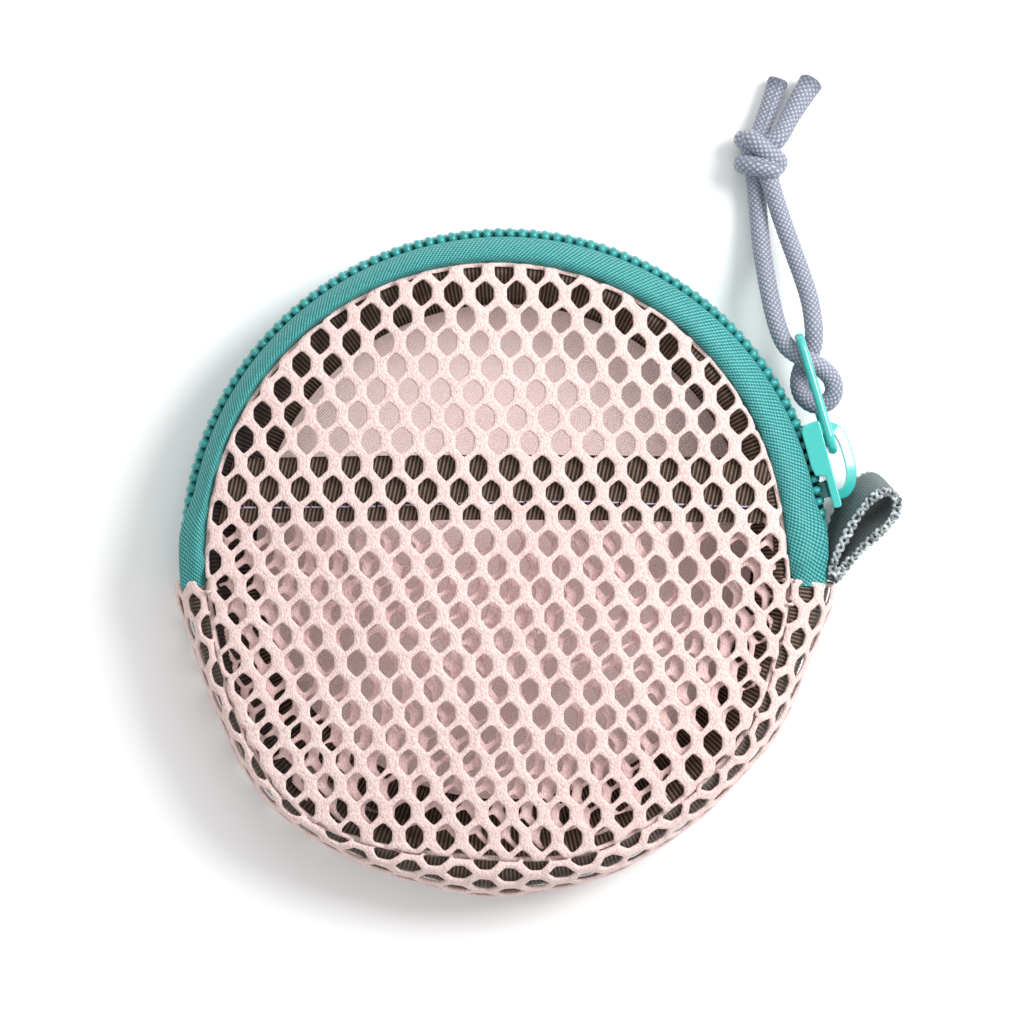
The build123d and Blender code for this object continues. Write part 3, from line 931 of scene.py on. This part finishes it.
def mix(nt, fac, a, b, mode="MIX"):
    n = node(nt, "ShaderNodeMix", data_type="RGBA", blend_type=mode)
    for i, v in ((0, fac), (6, a), (7, b)):
        if isinstance(v, (int, float)):
            n.inputs[i].default_value = v
        elif isinstance(v, tuple):
            n.inputs[i].default_value = (*v, 1)
        else:
            nt.links.new(v, n.inputs[i])
    return n.outputs[2]


def object_mm(nt):
    t = node(nt, "ShaderNodeTexCoord")
    m = node(nt, "ShaderNodeMapping")
    m.inputs["Scale"].default_value = (1000, 1000, 1000)
    nt.links.new(t.outputs["Object"], m.inputs[0])
    return m.outputs[0]


def noise(nt, vec, scale, detail=3, rough=0.55):
    n = node(nt, "ShaderNodeTexNoise")
    nt.links.new(vec, n.inputs["Vector"])
    n.inputs["Scale"].default_value = scale
    n.inputs["Detail"].default_value = detail
    n.inputs["Roughness"].default_value = rough
    return n.outputs["Fac"]


def voronoi(nt, vec, scale, rnd=1.0):
    n = node(nt, "ShaderNodeTexVoronoi")
    nt.links.new(vec, n.inputs["Vector"])
    n.inputs["Scale"].default_value = scale
    n.inputs["Randomness"].default_value = rnd
    return n.outputs["Distance"]


def bump(nt, bsdf, height, dist_mm, strength=1.0, prev=None):
    b = node(nt, "ShaderNodeBump")
    b.inputs["Strength"].default_value = strength
    b.inputs["Distance"].default_value = dist_mm * MM
    nt.links.new(height, b.inputs["Height"])
    if prev is not None:
        nt.links.new(prev, b.inputs["Normal"])
    nt.links.new(b.outputs[0], bsdf.inputs["Normal"])
    return b.outputs[0]


def split(nt, vec):
    s = node(nt, "ShaderNodeSeparateXYZ")
    nt.links.new(vec, s.inputs[0])
    return s.outputs[0], s.outputs[1], s.outputs[2]


def knit_material(name, light, dark, sheen=0.25):
    """Fine looped filaments: small cells with darker gaps, which are painted shade between the filaments, and a soft
    blotch over the whole cloth.
    """
    m, nt, b = nodes_of(name)
    p = object_mm(nt)
    warp = node(nt, "ShaderNodeMapping")
    warp.inputs["Scale"].default_value = (1.0, 0.62, 1.0)
    warp.inputs["Rotation"].default_value = (0, 0, 0.35)
    nt.links.new(p, warp.inputs[0])
    cells = voronoi(nt, warp.outputs[0], 3.6, 0.85)
    fine = noise(nt, p, 7.0, 3)
    blot = noise(nt, p, 0.09, 2)
    fac = math_node(nt, "MULTIPLY_ADD", cells, 0.85)
    fac.node.inputs[2].default_value = 0.0
    f2 = math_node(nt, "ADD", fac, math_node(nt, "MULTIPLY", fine, 0.35))
    col = ramp(nt, f2, [(0.22, light), (0.55, tuple(0.55 * a + 0.45 * c for a, c in zip(light, dark))), (0.85, dark)])
    tint = ramp(nt, blot, [(0.35, (0.95, 0.93, 0.93)), (0.65, (1.0, 1.0, 1.0))])
    nt.links.new(mix(nt, 0.8, col, tint, "MULTIPLY"), b.inputs["Base Color"])
    b.inputs["Roughness"].default_value = 0.82
    b.inputs["Sheen Weight"].default_value = sheen
    b.inputs["Sheen Roughness"].default_value = 0.5
    b.inputs["Specular IOR Level"].default_value = 0.3
    h = math_node(nt, "SUBTRACT", 1.0, f2)
    bump(nt, b, h, 0.16, 0.8)
    return m


PINK = (0.862, 0.708, 0.680)
PINK_D = (0.66, 0.462, 0.436)
M_MESH = knit_material("pink_mesh_knit", PINK, PINK_D)
# painted light: the inner layer is the same cloth as the front, given lighter colours to make up for the shade it lies
# in
M_POCKET = knit_material("pink_mesh_inner", (0.93, 0.72, 0.70), (0.72, 0.49, 0.47))


def fabric_material(name, c1, c2, pitch=0.42):
    m, nt, b = nodes_of(name)
    x_, y_, z_ = split(nt, attribute(nt, "tx"))
    sx = math_node(nt, "SINE", math_node(nt, "MULTIPLY", x_, 2 * math.pi / pitch))
    sy = math_node(nt, "SINE", math_node(nt, "MULTIPLY", y_, 2 * math.pi / pitch))
    w = math_node(nt, "MULTIPLY", sx, sy)
    p = object_mm(nt)
    n1 = noise(nt, p, 0.25, 3)
    f = math_node(nt, "ADD", math_node(nt, "MULTIPLY", w, 0.25), n1)
    nt.links.new(ramp(nt, f, [(0.3, c2), (0.7, c1)]), b.inputs["Base Color"])
    b.inputs["Roughness"].default_value = 0.85
    b.inputs["Sheen Weight"].default_value = 0.2
    b.inputs["Specular IOR Level"].default_value = 0.25
    bump(nt, b, w, 0.05, 0.7)
    return m


M_BACK = fabric_material("pink_woven_back", (0.97, 0.80, 0.79), (0.92, 0.73, 0.72))


def grosgrain_material(name, count, length, shade_left=False):
    """Ribs across the brown ribbon: pale rounded tops as painted highlight and dark valleys as painted shade, with fine
    cross threads.
    """
    m, nt, b = nodes_of(name)
    x_, y_, z_ = split(nt, attribute(nt, "tx"))
    rib = math_node(nt, "MULTIPLY_ADD", math_node(nt, "COSINE", math_node(nt, "MULTIPLY", x_, 2 * math.pi * count / length)), 0.5)
    rib.node.inputs[2].default_value = 0.5
    cross = math_node(nt, "SINE", math_node(nt, "MULTIPLY", y_, 2 * math.pi / 0.28))
    p = object_mm(nt)
    n1 = noise(nt, p, 3.0, 3)
    f = math_node(nt, "ADD", math_node(nt, "MULTIPLY", rib, 0.72), math_node(nt, "MULTIPLY", n1, 0.28))
    f = math_node(nt, "ADD", f, math_node(nt, "MULTIPLY", cross, 0.04))
    # painted light: the pale end of this ramp is painted highlight on the rib tops, the near-black end painted shade in
    # the valleys
    col = ramp(nt, f, [(0.22, (0.016, 0.008, 0.006)), (0.58, (0.060, 0.036, 0.025)), (0.92, (0.25, 0.165, 0.105))])
    if shade_left:
        # painted shade: the colour is multiplied darker towards the left (-x), where the front seam's ribbon lies in
        # shadow
        ox, oy, oz = split(nt, p)
        k = math_node(nt, "MULTIPLY_ADD", ox, 0.018)
        k.node.inputs[2].default_value = 0.80
        left_shade = ramp(nt, k, [(0.05, (0.22, 0.17, 0.17)), (0.75, (1.0, 1.0, 1.0))])
        col = mix(nt, 1.0, col, left_shade, "MULTIPLY")
    nt.links.new(col, b.inputs["Base Color"])
    b.inputs["Roughness"].default_value = 0.62
    b.inputs["Sheen Weight"].default_value = 0.15
    b.inputs["Specular IOR Level"].default_value = 0.35
    h = math_node(nt, "ADD", math_node(nt, "MULTIPLY", cross, 0.5), n1)
    bump(nt, b, h, 0.05, 0.6)
    return m


def tape_material(name):
    """Fine slanted twill on a teal tape."""
    m, nt, b = nodes_of(name)
    x_, y_, z_ = split(nt, attribute(nt, "tx"))
    d1 = math_node(nt, "ADD", math_node(nt, "MULTIPLY", x_, 2 * math.pi / 0.58), math_node(nt, "MULTIPLY", y_, 2 * math.pi / 0.80))
    d2 = math_node(nt, "SUBTRACT", math_node(nt, "MULTIPLY", y_, 2 * math.pi / 0.42), math_node(nt, "MULTIPLY", x_, 2 * math.pi / 1.7))
    s1 = math_node(nt, "SINE", d1)
    s2 = math_node(nt, "SINE", d2)
    w = math_node(nt, "MULTIPLY_ADD", s1, 0.30)
    w.node.inputs[2].default_value = 0.5
    w = math_node(nt, "ADD", w, math_node(nt, "MULTIPLY", s2, 0.18))
    p = object_mm(nt)
    n1 = noise(nt, p, 2.6, 3, 0.7)
    f = math_node(nt, "ADD", math_node(nt, "MULTIPLY", w, 0.62), math_node(nt, "MULTIPLY", n1, 0.38))
    nt.links.new(ramp(nt, f, [(0.27, (0.006, 0.105, 0.115)), (0.52, (0.024, 0.245, 0.240)), (0.80, (0.13, 0.52, 0.49))]),
                 b.inputs["Base Color"])
    b.inputs["Roughness"].default_value = 0.6
    b.inputs["Sheen Weight"].default_value = 0.06
    b.inputs["Specular IOR Level"].default_value = 0.4
    bump(nt, b, w, 0.11, 0.8)
    return m


def plain_material(name, c1, c2, rough, scale=2.0, coat=0.0, bump_mm=0.02, spec=0.5):
    m, nt, b = nodes_of(name)
    p = object_mm(nt)
    n1 = noise(nt, p, scale, 4)
    nt.links.new(ramp(nt, n1, [(0.35, c2), (0.68, c1)]), b.inputs["Base Color"])
    r = math_node(nt, "MULTIPLY_ADD", n1, 0.18)
    r.node.inputs[2].default_value = rough - 0.09
    nt.links.new(r, b.inputs["Roughness"])
    b.inputs["Specular IOR Level"].default_value = spec
    b.inputs["Coat Weight"].default_value = coat
    b.inputs["Coat Roughness"].default_value = 0.12
    bump(nt, b, noise(nt, p, scale * 2.5, 3), bump_mm, 0.5)
    return m


M_TAPE = tape_material("teal_tape")
M_COIL = plain_material("teal_coil", (0.03, 0.36, 0.345), (0.015, 0.23, 0.23), 0.36, 1.4, 0.3, 0.015)
M_PAINT = plain_material("teal_enamel", (0.040, 0.46, 0.42), (0.038, 0.45, 0.41), 0.26, 0.5, 1.0, 0.004)
M_STEEL = plain_material("spring_steel", (0.6, 0.6, 0.6), (0.45, 0.45, 0.46), 0.35, 2.0, 0.0, 0.01)
M_STEEL.node_tree.nodes["Principled BSDF"].inputs["Metallic"].default_value = 1.0
M_THREAD = plain_material("lilac_thread", (0.55, 0.50, 0.66), (0.38, 0.34, 0.5), 0.6, 6.0, 0.0, 0.03)
M_FLECK = plain_material("pale_thread", (0.62, 0.67, 0.70), (0.03, 0.045, 0.05), 0.6, 1.5, 0.0, 0.04)


def cord_material():
    m, nt, b = nodes_of("grey_braid")
    x_, y_, z_ = split(nt, attribute(nt, "tx"))
    k = 2 * math.pi / 1.55
    a1 = math_node(nt, "ADD", math_node(nt, "MULTIPLY", y_, 5.0), math_node(nt, "MULTIPLY", x_, k))
    a2 = math_node(nt, "SUBTRACT", math_node(nt, "MULTIPLY", y_, 5.0), math_node(nt, "MULTIPLY", x_, k))
    w = math_node(nt, "MULTIPLY", math_node(nt, "ABSOLUTE", math_node(nt, "SINE", a1)),
                  math_node(nt, "ABSOLUTE", math_node(nt, "SINE", a2)))
    p = object_mm(nt)
    n1 = noise(nt, p, 3.2, 2)
    w = math_node(nt, "POWER", w, 1.6)
    f = math_node(nt, "ADD", math_node(nt, "MULTIPLY", w, 0.62), math_node(nt, "MULTIPLY", n1, 0.4))
    # painted light: the plait tones run from shaded to lit cord, painted highlight on the raised plaits and painted
    # shade in the gaps between them
    col = ramp(nt, f, [(0.10, (0.13, 0.14, 0.19)), (0.35, (0.225, 0.24, 0.31)), (0.60, (0.34, 0.36, 0.43)), (0.90, (0.58, 0.60, 0.67))])
    dark = math_node(nt, "SUBTRACT", 1.0, math_node(nt, "MULTIPLY", math_node(nt, "MINIMUM", x_, math_node(nt, "SUBTRACT", float(CORD_LEN), x_)), 0.45), True)
    col = mix(nt, math_node(nt, "MULTIPLY", dark, 0.75), col, (0.055, 0.065, 0.10))
    nt.links.new(col, b.inputs["Base Color"])
    b.inputs["Roughness"].default_value = 0.55
    b.inputs["Sheen Weight"].default_value = 0.2
    bump(nt, b, f, 0.10, 0.8)
    return m


M_CORD = cord_material()


def webbing_material():
    m, nt, b = nodes_of("charcoal_webbing")
    x_, y_, z_ = split(nt, attribute(nt, "tx"))
    a1 = math_node(nt, "SINE", math_node(nt, "MULTIPLY", math_node(nt, "ADD", x_, y_), 2 * math.pi / 0.8))
    a2 = math_node(nt, "SINE", math_node(nt, "MULTIPLY", math_node(nt, "SUBTRACT", x_, y_), 2 * math.pi / 0.8))
    w = math_node(nt, "MULTIPLY", a1, a2)
    p = object_mm(nt)
    n1 = noise(nt, p, 3.0, 3)
    f = math_node(nt, "ADD", math_node(nt, "MULTIPLY_ADD", w, 0.3), math_node(nt, "MULTIPLY", n1, 0.6))
    nt.links.new(ramp(nt, f, [(0.2, (0.008, 0.011, 0.014)), (0.6, (0.026, 0.040, 0.044)), (0.9, (0.10, 0.14, 0.14))]), b.inputs["Base Color"])
    b.inputs["Roughness"].default_value = 0.68
    b.inputs["Sheen Weight"].default_value = 0.2
    bump(nt, b, f, 0.10, 0.7)
    return m


M_WEB = webbing_material()


def give(ob, mat):
    ob.data.materials.clear()
    ob.data.materials.append(mat)


give(front, M_MESH)
give(gusset, M_MESH)
give(pocket, M_POCKET)
give(back, M_BACK)
give(front_tape, M_TAPE)
give(back_tape, M_TAPE)
give(front_coil, M_COIL)
give(back_coil, M_COIL)
give(front_binding, grosgrain_material("grosgrain_front_seam", 430, 258.0, True))
give(back_binding, grosgrain_material("grosgrain_back_seam", 430, 258.0))
give(lining, grosgrain_material("grosgrain_lining", 230, 138.0))
give(pocket_binding, grosgrain_material("grosgrain_pocket", 128, 77.0))
give(pocket_stitch, M_THREAD)
give(pull_cord, M_CORD)
give(tab, M_WEB)
give(tab_threads, M_FLECK)
give(slider_shell, M_PAINT)
give(slider_ring, M_PAINT)
for key, mat in (("pull_loop", M_PAINT), ("slider_lock_pin", M_STEEL)):
    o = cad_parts[key]
    for s_ in o.material_slots:
        s_.material = mat

# ------------------------------------------------------------------ bodies and what each piece stands for
for o, n in ((front, "front_mesh_panel"), (gusset, "gusset_mesh"), (pocket, "pocket_mesh"), (back, "back_panel"),
             (front_tape, "front_zipper_tape"), (back_tape, "back_zipper_tape"), (front_coil, "front_zipper_coil"),
             (back_coil, "back_zipper_coil"), (front_binding, "front_seam_binding"),
             (back_binding, "back_seam_binding"), (lining, "gusset_lining_ribbon"), (pocket_binding, "pocket_binding")):
    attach(o, "pouch")
    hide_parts(n)
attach(pocket_stitch, "pouch")
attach(slider_shell, "slider")
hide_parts("slider_body")
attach(slider_ring, "slider")
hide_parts("slider_crown")
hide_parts("pull_cord_bight", "pull_cord_strands", "pull_cord_knot", "pull_cord_ends")
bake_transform(pull_cord)
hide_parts("side_tab_loop")
for o in (tab, tab_threads):
    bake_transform(o)

# ------------------------------------------------------------------ floor and light
bpy.ops.mesh.primitive_plane_add(size=6, location=(0, 0, 0))
floor = bpy.context.object
floor.name = "floor"
fm, fnt, fb = nodes_of("floor_white")
fb.inputs["Base Color"].default_value = (0.93, 0.93, 0.93, 1)
fb.inputs["Roughness"].default_value = 0.9
fb.inputs["Specular IOR Level"].default_value = 0.1
floor.data.materials.append(fm)

world = bpy.data.worlds.new("world")
bpy.context.scene.world = world
world.use_nodes = True
bg = world.node_tree.nodes["Background"]
bg.inputs[0].default_value = (1.0, 1.0, 1.0, 1)
bg.inputs[1].default_value = 0.74


def area(name, loc, target, size, power, color=(1, 1, 1)):
    d = bpy.data.lights.new(name, "AREA")
    d.shape = "DISK"
    d.size = size
    d.energy = power
    d.color = color
    o = bpy.data.objects.new(name, d)
    bpy.context.scene.collection.objects.link(o)
    from mathutils import Vector
    v = Vector(target) - Vector(loc)
    o.location = loc
    o.rotation_euler = v.to_track_quat("-Z", "Y").to_euler()
    return o


area("key", (0.44, 0.24, 0.46), (0, 0, 0.01), 0.34, 4.4)
area("fill", (0.1, 0.6, 0.8), (0, 0, 0.01), 0.6, 1.6)
glow = area("glow", (0, 0.019, 0.0118), (0, 0.019, 0), 0.050, 0.0022, (1.0, 0.90, 0.89))
glow.visible_camera = False
bpy.context.scene.view_settings.view_transform = "Standard"
bpy.context.scene.view_settings.look = "None"
